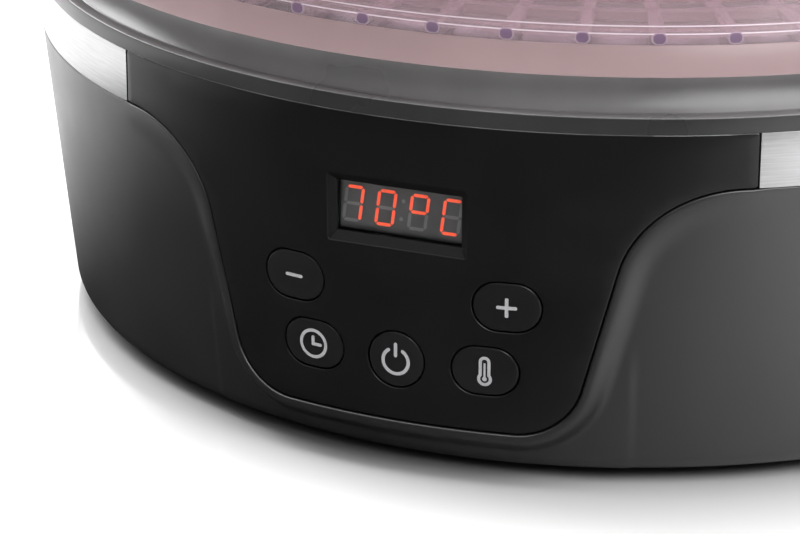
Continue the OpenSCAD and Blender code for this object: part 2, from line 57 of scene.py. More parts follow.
BAND_LO, BAND_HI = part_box("trim_band")
BASE_R = BAND_HI.x
BAND_LOW, BAND_TOP = BAND_LO.z, BAND_HI.z
FOOT_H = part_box("base_housing")[0].z
CASING_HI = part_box("top_casing")[1]
RIM_R = CASING_HI.x
RIM_TOP = BAND_TOP + 4.2 * MM
LEDGE_IN = BASE_R - 3.5 * MM
COVE_R = 14 * MM
NECK_R = LEDGE_IN - 4.1 * MM
NECK_TOP = CASING_HI.z
DECK_Z = RIM_TOP + 1.8 * MM
LENS_LO, LENS_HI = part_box("display_lens")
WINDOW_Z = (LENS_LO.z + LENS_HI.z) / 2
TRAYS = ["tray_1", "tray_2", "tray_3", "tray_4", "tray_5"]
TRAY_LO, TRAY_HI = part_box("tray_1")
SKIRT_R = TRAY_HI.x
SKIRT_H = 7.3 * MM
WALL_OUT = BASE_R - 1.5 * MM
WALL_TOP_OUT = BASE_R - 4.1 * MM
WALL_TOP = TRAY_HI.z - TRAY_LO.z
SEAT_IN = BASE_R - 15 * MM

# The panel's edge, seen from the front.
WING_X = BASE_R * math.sin(math.radians(31.3))
LEAN = math.radians(13.7)
SWEEP_C, SWEEP_R = Vector((82.95, 53.2)) * MM, 28.5 * MM
CORNER_C, CORNER_R = Vector((30.9, 32.0)) * MM, 17 * MM
TONGUE_LOW = 15 * MM
PANEL_T = 2.4 * MM

# The housing behind the band, its screw bosses, and its inlet for the cord gland.
BEHIND_OUT, BEHIND_IN = 162.3 * MM, 160.3 * MM
SEAT_OUT, SEAT_IN_R, SEAT_START = 163.8 * MM, 162.4 * MM, 31.9
BAND_START = 31.38
BOSS_AT, BOSS_R, BOSS_BORE = 141 * MM, 4.5 * MM, 1.3 * MM
BOSS_LOW, BOSS_TOP = 6.4 * MM, 28.3 * MM
INLET_R, COLLAR_R, COLLAR_BORE = 8.15 * MM, 8.2 * MM, 5.6 * MM

# The tray floor.
RIB_COUNT, RIB_W = 56, 3.7 * MM
RIB_LOW, RIB_TOP = 7.45 * MM, 10.55 * MM
RING_R, RING_STEP, RING_HALF = 22 * MM, 15.2 * MM, 1.2 * MM


def wall_r(z):
    """Outer radius of the tapered housing wall at height z."""
    return BASE_R - 0.1 * (BAND_LOW - z)


def panel_r(z):
    """Outer radius of the control panel at height z."""
    return BASE_R - 0.022 * max(0.0, BAND_LOW - z)


def smooth(t):
    """A soft step from 0 to 1."""
    t = min(1.0, max(0.0, t))
    return t * t * (3 - 2 * t)


# ---------- mesh helpers ----------

def new_object(name, verts, faces, angle=32.0):
    """An object from points and faces, smooth except across edges sharper than angle."""
    mesh = bpy.data.meshes.new(name)
    mesh.from_pydata([tuple(v) for v in verts], [], faces)
    mesh.validate()
    work = bmesh.new()
    work.from_mesh(mesh)
    bmesh.ops.recalc_face_normals(work, faces=work.faces)
    work.to_mesh(mesh)
    work.free()
    mesh.shade_smooth()
    mesh.set_sharp_from_angle(angle=math.radians(angle))
    obj = bpy.data.objects.new(name, mesh)
    bpy.context.scene.collection.objects.link(obj)
    return obj


def join(name, objects, angle=32.0):
    """One object from several, with each one's material kept."""
    mesh = bpy.data.meshes.new(name)
    work = bmesh.new()
    slots = []
    for obj in objects:
        first = len(work.faces)
        mesh_in = obj.data
        mesh_in.transform(obj.matrix_world)
        work.from_mesh(mesh_in)
        work.faces.ensure_lookup_table()
        for face in work.faces[first:]:
            material = mesh_in.materials[face.material_index] if mesh_in.materials else None
            if material not in slots:
                slots.append(material)
            face.material_index = slots.index(material)
        bpy.data.objects.remove(obj)
    work.to_mesh(mesh)
    work.free()
    for material in slots:
        mesh.materials.append(material)
    mesh.set_sharp_from_angle(angle=math.radians(angle))
    out = bpy.data.objects.new(name, mesh)
    bpy.context.scene.collection.objects.link(out)
    return out


def arc(cx, cy, r, a, b, n):
    """Points on an arc from angle a to angle b, in degrees."""
    steps = [math.radians(a + (b - a) * i / n) for i in range(n + 1)]
    return [(cx + r * math.cos(t), cy + r * math.sin(t)) for t in steps]


def circle(cx, cy, r, n):
    """Points on a full circle, run anticlockwise."""
    return arc(cx, cy, r, 0, 360, n)[:-1]


def fillet(points, radii, n=4):
    """A closed outline with its corners rounded to the given radii."""
    out = []
    count = len(points)
    for i, radius in enumerate(radii):
        here = Vector(points[i])
        if radius <= 0:
            out.append(here)
            continue
        back = (Vector(points[i - 1]) - here).normalized()
        ahead = (Vector(points[(i + 1) % count]) - here).normalized()
        half = math.acos(max(-1, min(1, back.dot(ahead)))) / 2
        centre = here + (back + ahead).normalized() * radius / math.sin(half)
        start = here + back * radius / math.tan(half) - centre
        end = here + ahead * radius / math.tan(half) - centre
        a0 = math.atan2(start.y, start.x)
        turn = (math.atan2(end.y, end.x) - a0 + math.pi) % (2 * math.pi) - math.pi
        for k in range(n + 1):
            t = a0 + turn * k / n
            out.append(centre + Vector((math.cos(t), math.sin(t))) * radius)
    return [tuple(p) for p in out]


def lathe(name, outline, segments=256, start=0.0, sweep=360.0, angle=32.0):
    """Turns a closed outline of (radius, height) about the axis, from a start bearing."""
    full = sweep >= 360
    columns = segments if full else segments + 1
    count = len(outline)
    verts = []
    for i in range(columns):
        b = math.radians(start + sweep * i / segments)
        verts += [(r * math.sin(b), -r * math.cos(b), z) for r, z in outline]
    faces = []
    for i in range(segments):
        a, b = i * count, ((i + 1) % columns) * count
        for k in range(count):
            m = (k + 1) % count
            faces.append((a + k, b + k, b + m, a + m))
    if not full:
        faces.append(tuple(range(count)))
        faces.append(tuple(reversed(range((columns - 1) * count, columns * count))))
    return new_object(name, verts, faces, angle)


def inside(points, loops):
    """Which of the points lie inside the first loop and outside the others."""
    points = np.asarray(points)
    hit = np.zeros(len(points), bool)
    for loop in loops:
        a = np.asarray([tuple(p) for p in loop])
        b = np.roll(a, -1, axis=0)
        for (x0, y0), (x1, y1) in zip(a, b):
            crosses = (y0 > points[:, 1]) != (y1 > points[:, 1])
            with np.errstate(divide="ignore", invalid="ignore"):
                x = (x1 - x0) * (points[:, 1] - y0) / (y1 - y0) + x0
            hit ^= crosses & (points[:, 0] < x)
    return hit


def fill(loops, spacing=0.0):
    """Points and triangles over the first loop with the other loops as holes."""
    points = [Vector((p[0], p[1])) for loop in loops for p in loop]
    edges = []
    first = 0
    for loop in loops:
        edges += [(first + i, first + (i + 1) % len(loop)) for i in range(len(loop))]
        first += len(loop)
    if spacing:
        rim = np.array([tuple(p) for p in points])
        low, high = rim.min(0), rim.max(0)
        grid = np.array([(x, y) for x in np.arange(low[0] + spacing / 2, high[0], spacing)
                         for y in np.arange(low[1] + spacing / 2, high[1], spacing)])
        grid = grid[inside(grid, loops)]
        gap = np.array([np.min(np.hypot(*(rim - g).T)) for g in grid])
        points += [Vector(g) for g in grid[gap > spacing * 0.55]]
    found = delaunay_2d_cdt(points, edges, [], 0, 1e-9)
    origin = [ids[0] if ids else -1 for ids in found[3]]
    centres = [sum((found[0][i] for i in face), Vector((0, 0))) / 3 for face in found[2]]
    keep = inside([tuple(c) for c in centres], loops)
    triangles = [tuple(origin[i] for i in face) for face, ok in zip(found[2], keep) if ok]
    return points, triangles


def on_panel(x, z, depth):
    """A place on the panel from its front view and its depth below the surface."""
    bearing = math.asin(max(-1, min(1, x / BASE_R)))
    r = panel_r(z) - depth
    return Vector((r * math.sin(bearing), -r * math.cos(bearing), z))


def on_plane(y):
    """A mapping onto the upright plane at y, with depth going inwards."""
    return lambda x, z, depth: Vector((x, y + depth, z))


def edge_rings(loop, place, rounding, bottom, steps=3):
    """Rings of points over a rounded edge and down its side. The loop is (x, z, nx, nz)."""
    rings = []
    for k in range(steps + 1):
        t = math.pi / 2 * k / steps
        inset, depth = rounding * (1 - math.sin(t)), rounding * (1 - math.cos(t))
        rings.append([place(x - nx * inset, z - nz * inset, depth) for x, z, nx, nz in loop])
    rings.append([place(x, z, bottom) for x, z, _, _ in loop])
    return rings


def plate(name, loops, place, thickness, rounding, spacing=0.0, crown=None, angle=32.0):
    """A plate with rounded front edges. Loops are (x, z, nx, nz), with normals off the plate.
    The rounding is one radius, or one for each loop."""
    radii = rounding if isinstance(rounding, list) else [rounding] * len(loops)
    tops = [[(x - nx * radius, z - nz * radius) for x, z, nx, nz in loop]
            for loop, radius in zip(loops, radii)]
    points, triangles = fill(tops, spacing)
    lift = crown or (lambda x, z: 0.0)
    verts = [place(p.x, p.y, -lift(p.x, p.y)) for p in points]
    faces = [tuple(t) for t in triangles]
    back = fill([[(x, z) for x, z, _, _ in loop] for loop in loops], spacing)
    back_first = len(verts)
    verts += [place(p.x, p.y, thickness) for p in back[0]]
    faces += [tuple(back_first + i for i in reversed(t)) for t in back[1]]
    first = 0
    for loop, radius in zip(loops, radii):
        n = len(loop)
        rings = edge_rings(loop, place, radius, thickness)
        above = [first + i for i in range(n)]
        for k, ring in enumerate(rings[1:], 1):
            if k == len(rings) - 1:
                below = [back_first + first + i for i in range(n)]
            else:
                below = [len(verts) + i for i in range(n)]
                verts += ring
            faces += [(above[i], above[(i + 1) % n], below[(i + 1) % n], below[i])
                      for i in range(n)]
            above = below
        first += n
    return new_object(name, verts, faces, angle)


def with_normals(points, outward=1):
    """(x, z, nx, nz) for a closed loop run anticlockwise; outward=-1 for a hole."""
    out = []
    n = len(points)
    for i, p in enumerate(points):
        a, b = Vector(points[i - 1]), Vector(points[(i + 1) % n])
        d = (b - a).normalized()
        out.append((p[0], p[1], d.y * outward, -d.x * outward))
    return out


def stadium(cx, cz, w, h, n=16):
    """A rounded slot shape, run anticlockwise."""
    r = h / 2
    side = max(0.0, w / 2 - r)
    right = arc(cx + side, cz, r, -90, 90, n)
    left = arc(cx - side, cz, r, 90, 270, n)
    if side:
        across = [cx + side - 2 * side * i / 6 for i in range(1, 6)]
        return (right + [(x, cz + r) for x in across] + left
                + [(x, cz - r) for x in reversed(across)])
    return right[:-1] + left[:-1]


def box_loop(x0, z0, x1, z1, radius):
    """A rectangle with rounded corners, run anticlockwise."""
    return fillet([(x0, z0), (x1, z0), (x1, z1), (x0, z1)], [radius] * 4, 4)


def stroke(path, width, n=6):
    """The outline of a line with round ends, drawn along a path of points."""
    path = [Vector(p) for p in path]
    h = width / 2
    left, right = [], []
    for i, p in enumerate(path):
        d = (path[min(i + 1, len(path) - 1)] - path[max(i - 1, 0)]).normalized()
        if 0 < i < len(path) - 1:
            d0 = (p - path[i - 1]).normalized()
            scale = h / max(0.5, d0.dot(d))
        else:
            scale = h
        side = Vector((-d.y, d.x)) * scale
        left.append(p + side)
        right.append(p - side)

    def cap(tip, before):
        """The round end at a tip."""
        d = (tip - before).normalized()
        a = math.degrees(math.atan2(d.y, d.x))
        return arc(tip.x, tip.y, h, a - 90, a + 90, n)[1:-1]

    return ([tuple(p) for p in right] + cap(path[-1], path[-2])
            + [tuple(p) for p in reversed(left)] + cap(path[0], path[1]))


def panel_outline(grow=0.0, half=False):
    """The panel's edge as (x, z, nx, nz), clockwise from the top centre, or its right half."""
    soft = 0.8 * MM
    pieces = []

    def line(a, b, normal, step):
        """Adds a straight run, without its last point."""
        count = max(1, round((Vector(b) - Vector(a)).length / step))
        for i in range(count):
            p = Vector(a).lerp(Vector(b), i / count)
            pieces.append((p.x, p.y, normal[0], normal[1]))

    def bend(c, r, a, b, step, sign=1):
        """Adds a curved run, without its last point; sign=-1 where it curves inwards."""
        count = max(2, round(abs(math.radians(b - a)) * r / step))
        for i in range(count):
            t = math.radians(a + (b - a) * i / count)
            pieces.append((c[0] + r * math.cos(t), c[1] + r * math.sin(t),
                           sign * math.cos(t), sign * math.sin(t)))

    lean = math.degrees(LEAN)
    across = (math.cos(LEAN), -math.sin(LEAN))
    side_top = (SWEEP_C.x - SWEEP_R * across[0], SWEEP_C.y - SWEEP_R * across[1])
    side_low = (CORNER_C.x + CORNER_R * across[0], CORNER_C.y + CORNER_R * across[1])
    line((0, BAND_TOP), (WING_X - soft, BAND_TOP), (0, 1), 3 * MM)
    bend((WING_X - soft, BAND_TOP - soft), soft, 90, 0, 0.3 * MM)
    line((WING_X, BAND_TOP - soft), (WING_X, BAND_LOW + soft), (1, 0), 3 * MM)
    bend((WING_X - soft, BAND_LOW + soft), soft, 0, -90, 0.3 * MM)
    line((WING_X - soft, BAND_LOW), (SWEEP_C.x, BAND_LOW), (0, -1), 1 * MM)
    bend(SWEEP_C, SWEEP_R, 90, 180 - lean, 0.9 * MM, -1)
    line(side_top, side_low, across, 1.2 * MM)
    bend(CORNER_C, CORNER_R, -lean, -90, 0.9 * MM)
    line((CORNER_C.x, TONGUE_LOW), (0, TONGUE_LOW), (0, -1), 2 * MM)
    pieces.append((0.0, TONGUE_LOW, 0.0, -1.0))
    right = [(x + nx * grow, z + nz * grow, nx, nz) for x, z, nx, nz in pieces]
    if half:
        return right
    return right + [(-x, z, -nx, nz) for x, z, nx, nz in reversed(right[1:-1])]


# ---------- materials ----------

class Nodes:
    """A short way to write the node tree of a material or a world."""

    def __init__(self, name, world=False):
        self.owner = (bpy.data.worlds if world else bpy.data.materials).new(name)
        self.owner.use_nodes = True
        self.tree = self.owner.node_tree
        self.tree.nodes.clear()
        self.out = self.add("ShaderNodeOutputWorld" if world else "ShaderNodeOutputMaterial")

    def add(self, kind, **values):
        """A new node. A value goes to the input of its name, with __ for a space, or to a
        setting where the name starts with a _."""
        node = self.tree.nodes.new(kind)
        for key, value in values.items():
            if key.startswith("_"):
                setattr(node, key[1:], value)
                continue
            self.put(value, node.inputs[key.replace("__", " ")])
        return node

    def link(self, a, b):
        """Links an output to an input."""
        self.tree.links.new(a, b)

    def put(self, value, socket):
        """Links an output to an input, or sets the input to a plain value."""
        if isinstance(value, bpy.types.NodeSocket):
            self.link(value, socket)
        else:
            socket.default_value = value

    def coordinates(self, kind="Object"):
        """Where the shaded point is."""
        return self.add("ShaderNodeTexCoord").outputs[kind]

    def split(self, vector):
        """The three parts of a vector."""
        node = self.add("ShaderNodeSeparateXYZ")
        self.link(vector, node.inputs[0])
        return node.outputs

    def math(self, operation, *values):
        """The result of one sum."""
        node = self.add("ShaderNodeMath", _operation=operation)
        for value, socket in zip(values, node.inputs):
            self.put(value, socket)
        return node.outputs[0]

    def mix(self, fac, a, b):
        """A mix of two shaders."""
        node = self.add("ShaderNodeMixShader")
        for value, socket in zip((fac, a, b), node.inputs):
            self.put(value, socket)
        return node.outputs[0]

    def scaled(self, vector, scale):
        """A vector stretched along each axis."""
        node = self.add("ShaderNodeVectorMath", _operation="MULTIPLY")
        self.link(vector, node.inputs[0])
        node.inputs[1].default_value = scale
        return node.outputs[0]

    def noise(self, vector, scale, detail=4.0, rough=0.55):
        """Noise about 0.5."""
        node = self.add("ShaderNodeTexNoise", Scale=scale, Detail=detail, Roughness=rough)
        self.link(vector, node.inputs["Vector"])
        return node.outputs["Fac"]

    def range(self, value, low, high, from_low=0.3, from_high=0.7, kind="SMOOTHSTEP"):
        """A value moved from one range to another, and held inside it."""
        node = self.add("ShaderNodeMapRange", _interpolation_type=kind)
        self.link(value, node.inputs["Value"])
        node.inputs["From Min"].default_value = from_low
        node.inputs["From Max"].default_value = from_high
        node.inputs["To Min"].default_value = low
        node.inputs["To Max"].default_value = high
        return node.outputs["Result"]

    def blend(self, fac, a, b):
        """A mix of two colours. The second may come from a node."""
        node = self.add("ShaderNodeMix", _data_type="RGBA")
        self.put(fac, node.inputs[0])
        self.put((*a, 1), node.inputs[6])
        self.put(b if isinstance(b, bpy.types.NodeSocket) else (*b, 1), node.inputs[7])
        return node.outputs[2]

    def clouded(self, noise, colour, share):
        """A colour that falls to a share of itself where the noise is low."""
        return self.blend(self.range(noise, 0, 1), tuple(c * share for c in colour), colour)

    def bump(self, height, strength, distance):
        """A normal roughened by a height."""
        node = self.add("ShaderNodeBump", Strength=strength, Distance=distance)
        self.link(height, node.inputs["Height"])
        return node.outputs["Normal"]

    def finish(self, shader):
        """Puts the shader on the surface, and gives back the material or world."""
        self.link(shader, self.out.inputs["Surface"])
        return self.owner


def plastic(name, colour, rough, grain=0.12, specular=0.3, vary=0.15, coat=0.0, scale=1.0):
    """Moulded plastic: fine grain, and slight clouding of its colour and gloss."""
    n = Nodes(name)
    at = n.coordinates()
    cloud = n.noise(at, 28 * scale, 3)
    fine = n.noise(at, 2600 * scale, 2, 0.6)
    low = tuple(c * (1 - vary) for c in colour)
    high = tuple(min(1, c * (1 + vary)) for c in colour)
    shader = n.add("ShaderNodeBsdfPrincipled",
                   Base__Color=n.blend(n.range(cloud, 0, 1), low, high),
                   Roughness=n.range(cloud, rough - 0.03, rough + 0.03),
                   Normal=n.bump(fine, grain, 0.00004), Specular__IOR__Level=specular,
                   Coat__Weight=coat, Coat__Roughness=0.12)
    return n.finish(shader.outputs[0])


def metal(name, colour, rough, grain=0.1, stretch=(1, 1, 1), scale=900.0):
    """Bare metal with slight clouding and fine tool marks."""
    n = Nodes(name)
    at = n.coordinates()
    marks = n.noise(n.scaled(at, stretch), scale, 3, 0.6)
    cloud = n.noise(at, 60, 2)
    shader = n.add("ShaderNodeBsdfPrincipled", Metallic=1.0,
                   Base__Color=n.clouded(cloud, colour, 0.88),
                   Roughness=n.range(marks, rough - 0.06, rough + 0.08),
                   Normal=n.bump(marks, grain, 0.00003))
    return n.finish(shader.outputs[0])


def brushed_band(name):
    """Stainless steel brushed along the length of the round band."""
    n = Nodes(name)
    at = n.coordinates()
    x, y, z = n.split(at)
    lined = n.add("ShaderNodeCombineXYZ", X=n.math("ARCTAN2", x, y), Z=z)
    coarse = n.noise(n.scaled(lined.outputs[0], (3, 1, 900)), 3.0, 5, 0.65)
    fine = n.noise(n.scaled(lined.outputs[0], (14, 1, 4200)), 3.0, 3, 0.6)
    colour = n.blend(n.range(coarse, 0, 1), (0.40, 0.40, 0.405), (0.50, 0.50, 0.505))
    shader = n.add("ShaderNodeBsdfPrincipled", Metallic=1.0, Base__Color=colour,
                   Roughness=n.range(fine, 0.28, 0.42), Anisotropic=0.5,
                   Normal=n.bump(fine, 0.25, 0.00003))
    return n.finish(shader.outputs[0])


def clear_plastic(name, tint, milk, milk_share, gloss=0.12, lets_by=0.8):
    """Thin clear plastic: tinted see-through, a share of milky haze, and gloss at the edge.
    The share of light it lets by sets how bright the things behind it are."""
    n = Nodes(name)
    at = n.coordinates()
    cloud = n.noise(at, 45, 3)
    fine = n.noise(at, 1800, 2)
    normal = n.bump(fine, 0.05, 0.00004)
    through = n.add("ShaderNodeBsdfTransparent", Color=(*tint, 1))
    haze = n.add("ShaderNodeBsdfDiffuse", Color=n.clouded(cloud, milk, 0.94), Normal=normal)
    back = n.add("ShaderNodeBsdfTranslucent", Color=(*milk, 1))
    body = n.mix(0.45, haze.outputs[0], back.outputs[0])
    sheet = n.mix(milk_share, through.outputs[0], body)
    shine = n.add("ShaderNodeBsdfGlossy", Color=(0.95, 0.95, 0.97, 1), Roughness=gloss,
                  Normal=normal)
    edge = n.add("ShaderNodeFresnel", IOR=1.45)
    seen = n.mix(edge.outputs[0], sheet, shine.outputs[0])
    light = n.add("ShaderNodeBsdfTransparent", Color=(*(c * lets_by for c in tint), 1))
    shadow = n.add("ShaderNodeLightPath").outputs["Is Shadow Ray"]
    return n.finish(n.mix(shadow, seen, light.outputs[0]))


def glowing(name, colour, strength):
    """A lit display bar, slightly brighter along its middle."""
    n = Nodes(name)
    at = n.coordinates()
    cloud = n.noise(at, 900, 2)
    shader = n.add("ShaderNodeBsdfPrincipled", Base__Color=(0.25, 0.03, 0.02, 1), Roughness=0.4,
                   Emission__Color=n.clouded(cloud, colour, 0.85), Emission__Strength=strength)
    return n.finish(shader.outputs[0])


def printed(name, colour):
    """Printed ink, faintly uneven."""
    n = Nodes(name)
    at = n.coordinates()
    cloud = n.noise(at, 1500, 3)
    shader = n.add("ShaderNodeBsdfPrincipled", Base__Color=n.clouded(cloud, colour, 0.9),
                   Roughness=0.55)
    return n.finish(shader.outputs[0])


def smoked_window(name):
    """A clear, faintly smoked sheet in front of the display."""
    n = Nodes(name)
    cloud = n.noise(n.coordinates(), 120, 2)
    through = n.add("ShaderNodeBsdfTransparent",
                    Color=n.blend(n.range(cloud, 0, 1), (0.93, 0.93, 0.93), (0.96, 0.96, 0.96)))
    shine = n.add("ShaderNodeBsdfGlossy", Roughness=0.15)
    edge = n.add("ShaderNodeFresnel", IOR=1.2)
    return n.finish(n.mix(edge.outputs[0], through.outputs[0], shine.outputs[0]))


MAT = {
    "satin_black": plastic("satin_black", (0.008, 0.008, 0.0082), 0.38, 0.2, 0.8),
    "panel_black": plastic("panel_black", (0.004, 0.004, 0.0042), 0.34, 0.12, 0.3),
    "casing_grey": plastic("casing_grey", (0.15, 0.15, 0.151), 0.3, 0.1, 0.6),
    "casing_rim": plastic("casing_rim", (0.02, 0.02, 0.0203), 0.3, 0.1, 0.4),
    # Painted highlight: a lighter grey for the up-facing rounding along the panel's top edge,
    # standing in for the bright line of light it catches.
    "panel_edge_highlight": plastic("panel_edge_highlight", (0.16, 0.16, 0.162), 0.25, 0.05, 0.8),
    "band_steel": brushed_band("band_steel"),
    "button_black": plastic("button_black", (0.007, 0.007, 0.0074), 0.34, 0.12, 0.2),
    "display_smoke": smoked_window("display_window"),
    "display_body": plastic("display_body", (0.08, 0.08, 0.082), 0.5, 0.08),
    "display_off": plastic("display_off", (0.15, 0.15, 0.152), 0.5, 0.05),
    "digit_red": glowing("digit_red", (1.0, 0.11, 0.04), 1.0),
    "ink_grey": printed("ink_grey", (0.26, 0.26, 0.267)),
    "board_green": plastic("board_green", (0.02, 0.12, 0.05), 0.4, 0.3, 0.5, 0.25),
    "part_black": plastic("part_black", (0.02, 0.02, 0.021), 0.5, 0.3),
    "screw_steel": metal("screw_steel", (0.58, 0.58, 0.59), 0.35),
    "foot_rubber": plastic("foot_rubber", (0.03, 0.03, 0.03), 0.75, 0.5),
    "duct_steel": metal("duct_steel", (0.55, 0.56, 0.57), 0.4, 0.12, (1, 1, 0.1)),
    "motor_steel": metal("motor_steel", (0.6, 0.6, 0.61), 0.32, 0.1, (1, 1, 6)),
    "bearing_bronze": metal("bearing_bronze", (0.62, 0.42, 0.2), 0.4),
    "fan_black": plastic("fan_black", (0.02, 0.02, 0.021), 0.38, 0.2, 0.4),
    "mica": plastic("mica", (0.55, 0.48, 0.34), 0.45, 0.4, 0.5, 0.3, scale=0.5),
    "heater_wire": metal("heater_wire", (0.36, 0.33, 0.30), 0.5, 0.3),
    "ceramic": plastic("ceramic", (0.68, 0.64, 0.56), 0.35, 0.1, 0.5, 0.08),
    "transformer_yellow": plastic("transformer_yellow", (0.55, 0.40, 0.07), 0.4, 0.25, 0.5),
    "relay_blue": plastic("relay_blue", (0.03, 0.07, 0.24), 0.35, 0.15, 0.5),
    "block_green": plastic("block_green", (0.04, 0.24, 0.07), 0.42, 0.2, 0.5),
    "lead_red": plastic("lead_red", (0.45, 0.02, 0.02), 0.45, 0.2, 0.4),
    "lead_white": plastic("lead_white", (0.62, 0.61, 0.58), 0.5, 0.2, 0.4),
    "cable_grey": plastic("cable_grey", (0.12, 0.12, 0.125), 0.5, 0.2, 0.4),
    "tray_rose": clear_plastic("tray_rose", (0.93, 0.86, 0.88), (0.42, 0.305, 0.31), 0.88, 0.3,
                               0.2),
    "tray_clear": clear_plastic("tray_clear", (0.97, 0.94, 0.94), (0.84, 0.71, 0.72), 0.14),
    "tray_rib": clear_plastic("tray_rib", (0.90, 0.85, 0.88), (0.76, 0.63, 0.69), 0.36),
    "tray_rib_end": clear_plastic("tray_rib_end", (0.60, 0.50, 0.66), (0.24, 0.17, 0.26), 0.6),
    # Painted highlight: milky white for the tray's two thin wall beads, so they show as bright
    # lines where the wall's edges catch the light.
    "tray_highlight_line": clear_plastic("tray_highlight_line", (0.95, 0.93, 0.97), (0.90, 0.84, 0.90), 0.55),
    "lid_clear": clear_plastic("lid_clear", (0.97, 0.94, 0.95), (0.88, 0.78, 0.80), 0.2, 0.12,
                               0.9),
}


def give(obj, slot):
    """Gives the whole object one material."""
    obj.data.materials.clear()
    obj.data.materials.append(MAT[slot])
    return obj


# ---------- the housing ----------

def tongue_distance(x, z, samples):
    """Distance outside the panel's edge, in the front view."""
    best = min(samples, key=lambda p: (p[0] - x) ** 2 + (p[1] - z) ** 2)
    away = (x - best[0]) * best[2] + (z - best[1]) * best[3]
    gap = math.hypot(x - best[0], z - best[1])
    return gap if away > 0 else -gap


def gland_centre():
    """The middle of the cord gland."""
    low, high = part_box("cord_gland")
    return (low + high) / 2


def cut_inlet(shell):
    """Cuts the hole for the cord gland through the back of the shell."""
    centre = gland_centre()
    cutter = plate("cutter", [with_normals(circle(centre.x, centre.z, INLET_R, 48))],
                   lambda x, z, d: Vector((x, 0.175 - d, z)), 30 * MM, 0.0)
    hole = shell.modifiers.new("inlet", "BOOLEAN")
    hole.operation = "DIFFERENCE"
    hole.solver = "EXACT"
    hole.object = cutter
    bpy.context.view_layer.update()
    cut = shell.evaluated_get(bpy.context.evaluated_depsgraph_get())
    done = bpy.data.meshes.new_from_object(cut)
    shell.modifiers.clear()
    shell.data = done
    bpy.data.objects.remove(cutter)


def build_collar():
    """The ring that the cord gland sits in."""
    centre = gland_centre()
    back_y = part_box("cord_gland")[1].y - 2.2 * MM
    outer = with_normals(circle(centre.x, centre.z, COLLAR_R, 48))
    bore = with_normals(circle(centre.x, centre.z, COLLAR_BORE, 48), -1)
    return give(plate("collar", [outer, bore], lambda x, z, d: Vector((x, back_y - d, z)),
                      3 * MM, 0.0), "satin_black")


def build_bosses():
    """Six upright tubes that take the cover's screws."""
    bosses = []
    n = 24
    for i in range(6):
        a = math.radians(60 * i)
        x0, y0 = BOSS_AT * math.cos(a), BOSS_AT * math.sin(a)
        verts = [(x, y, z) for r in (BOSS_R, BOSS_BORE) for z in (BOSS_LOW, BOSS_TOP)
                 for x, y in circle(x0, y0, r, n)]
        faces = []
        for k in range(n):
            m = (k + 1) % n
            faces += [(k, m, n + m, n + k), (2 * n + k, 3 * n + k, 3 * n + m, 2 * n + m),
                      (k, 2 * n + k, 2 * n + m, m), (n + k, n + m, 3 * n + m, 3 * n + k)]
        bosses.append(give(new_object("boss", verts, faces), "satin_black"))
    return bosses


